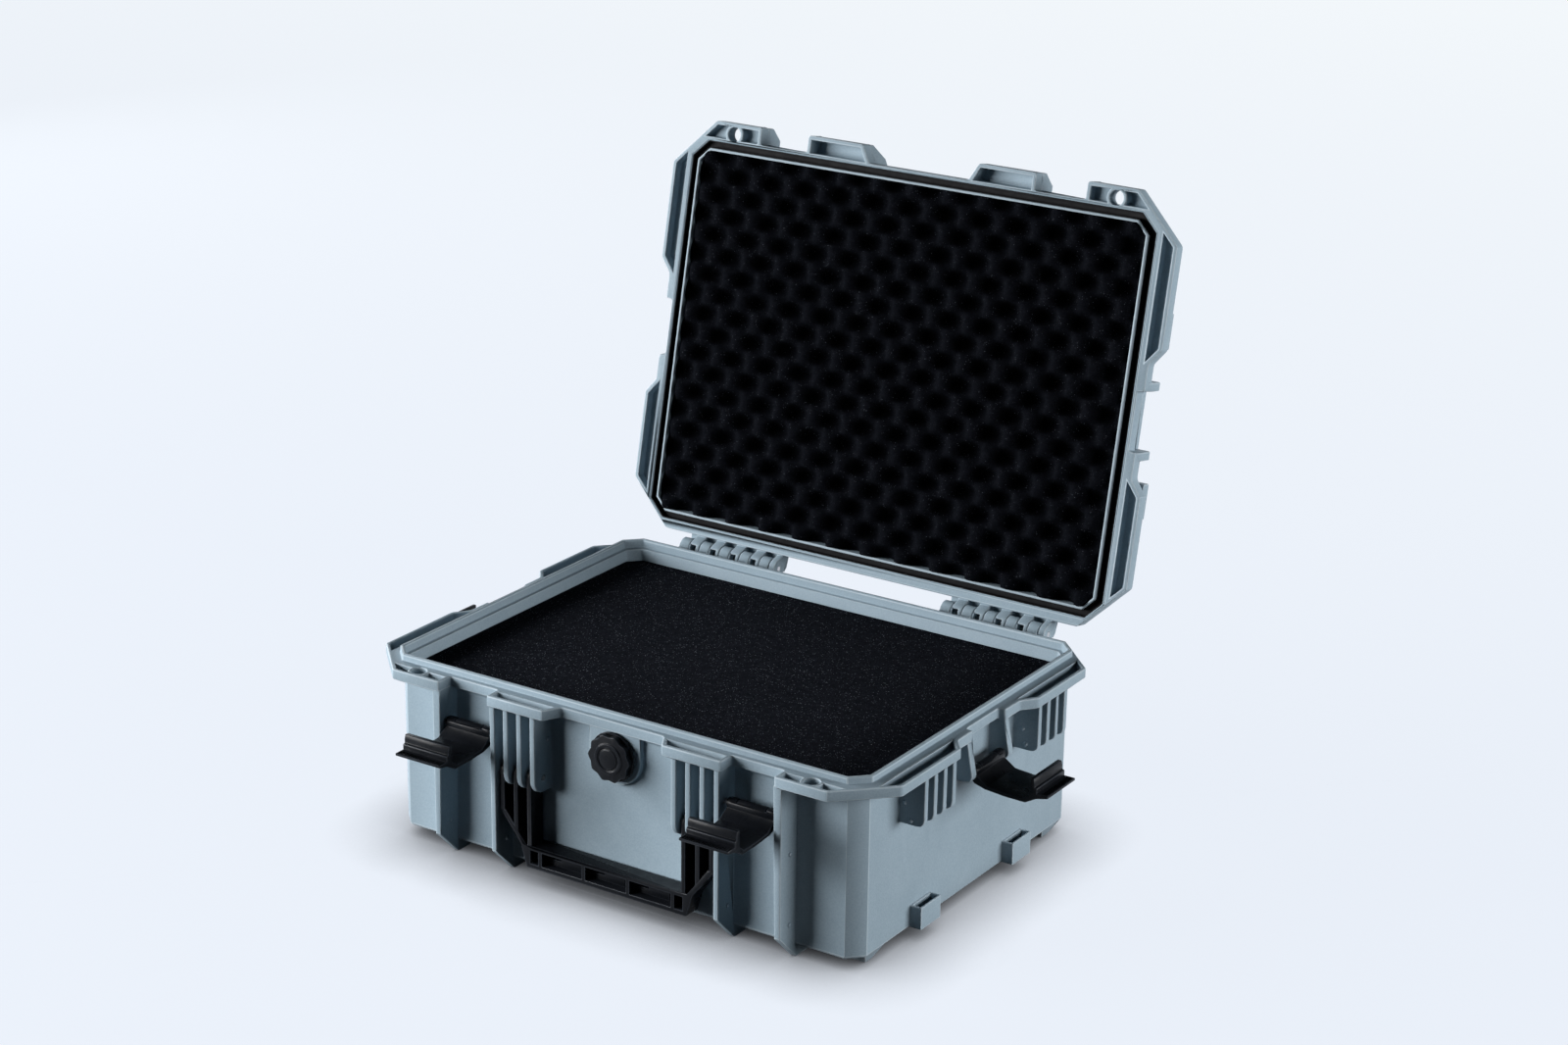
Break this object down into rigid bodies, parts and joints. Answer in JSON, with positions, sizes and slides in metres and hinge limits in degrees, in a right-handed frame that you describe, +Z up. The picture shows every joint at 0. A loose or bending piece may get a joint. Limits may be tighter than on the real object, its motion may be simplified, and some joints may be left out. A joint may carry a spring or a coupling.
{
  "type": "equipment case",
  "caption": "Moulded plastic waterproof equipment case with hinged foam-lined lid, folding latches and handle, purge valve, seal and padlock lugs, shown open.",
  "frame": {"origin": "centre of the base's raised bottom panel, on the ground with the feet", "axes": "+X along the width, towards the right-hand side latch; front with the handle at -Y; +Z up"},
  "size_m": [0.574, 0.5159, 0.4927],
  "materials": {
    "grey_shell": "satin",
    "black_plastic": "satin",
    "black_rubber": "matte",
    "black_foam": "matte",
    "steel_pin": "satin"
  },
  "bodies": {
    "base": {"base_shell": "grey_shell", "base_foam_upper": "black_foam", "base_foam_lower": "black_foam", "base_foam_floor_pad": "black_foam", "handle_pin_left": "steel_pin", "handle_pin_right": "steel_pin", "latch_pin_front_left": "steel_pin", "latch_pin_front_right": "steel_pin", "latch_pin_side_left": "steel_pin", "latch_pin_side_right": "steel_pin", "hinge_pin_left": "steel_pin", "hinge_pin_right": "steel_pin", "valve_body": "black_plastic", "valve_seal": "black_rubber", "valve_nut": "black_plastic"},
    "lid": {"lid_shell": "grey_shell", "lid_gasket": "black_rubber", "lid_foam": "black_foam"},
    "handle": {"carry_handle": "black_plastic"},
    "knob": {"valve_knob": "black_plastic"},
    "latch_front_left": {"latch_front_left": "black_plastic"},
    "latch_front_right": {"latch_front_right": "black_plastic"},
    "latch_side_left": {"latch_side_left": "black_plastic"},
    "latch_side_right": {"latch_side_right": "black_plastic"}
  },
  "joints": [
    {"name": "lid_hinge", "type": "hinge", "parent": "base", "child": "lid", "pos_m": [0, 0.1784, 0.1464], "axis": [1, 0, 0], "range_deg": [0, 102.1]},
    {"name": "latch_front_left_turn", "type": "hinge", "parent": "base", "child": "latch_front_left", "pos_m": [-0.12865, -0.167, 0.1142], "axis": [-1, 0, 0], "range_deg": [0, 90]},
    {"name": "latch_front_right_turn", "type": "hinge", "parent": "base", "child": "latch_front_right", "pos_m": [0.12865, -0.167, 0.1142], "axis": [-1, 0, 0], "range_deg": [0, 90]},
    {"name": "latch_side_left_turn", "type": "hinge", "parent": "base", "child": "latch_side_left", "pos_m": [-0.2235, 0, 0.1142], "axis": [0, 1, 0], "range_deg": [0, 90]},
    {"name": "latch_side_right_turn", "type": "hinge", "parent": "base", "child": "latch_side_right", "pos_m": [0.2235, 0, 0.1142], "axis": [0, -1, 0], "range_deg": [0, 90]},
    {"name": "handle_fold", "type": "hinge", "parent": "base", "child": "handle", "pos_m": [0, -0.1645, 0.0882], "axis": [-1, 0, 0], "range_deg": [0, 100]},
    {"name": "valve_turn", "type": "hinge", "parent": "base", "child": "knob", "pos_m": [0, -0.165, 0.1202], "axis": [0, -1, 0], "range_deg": [0, 180]}
  ]
}
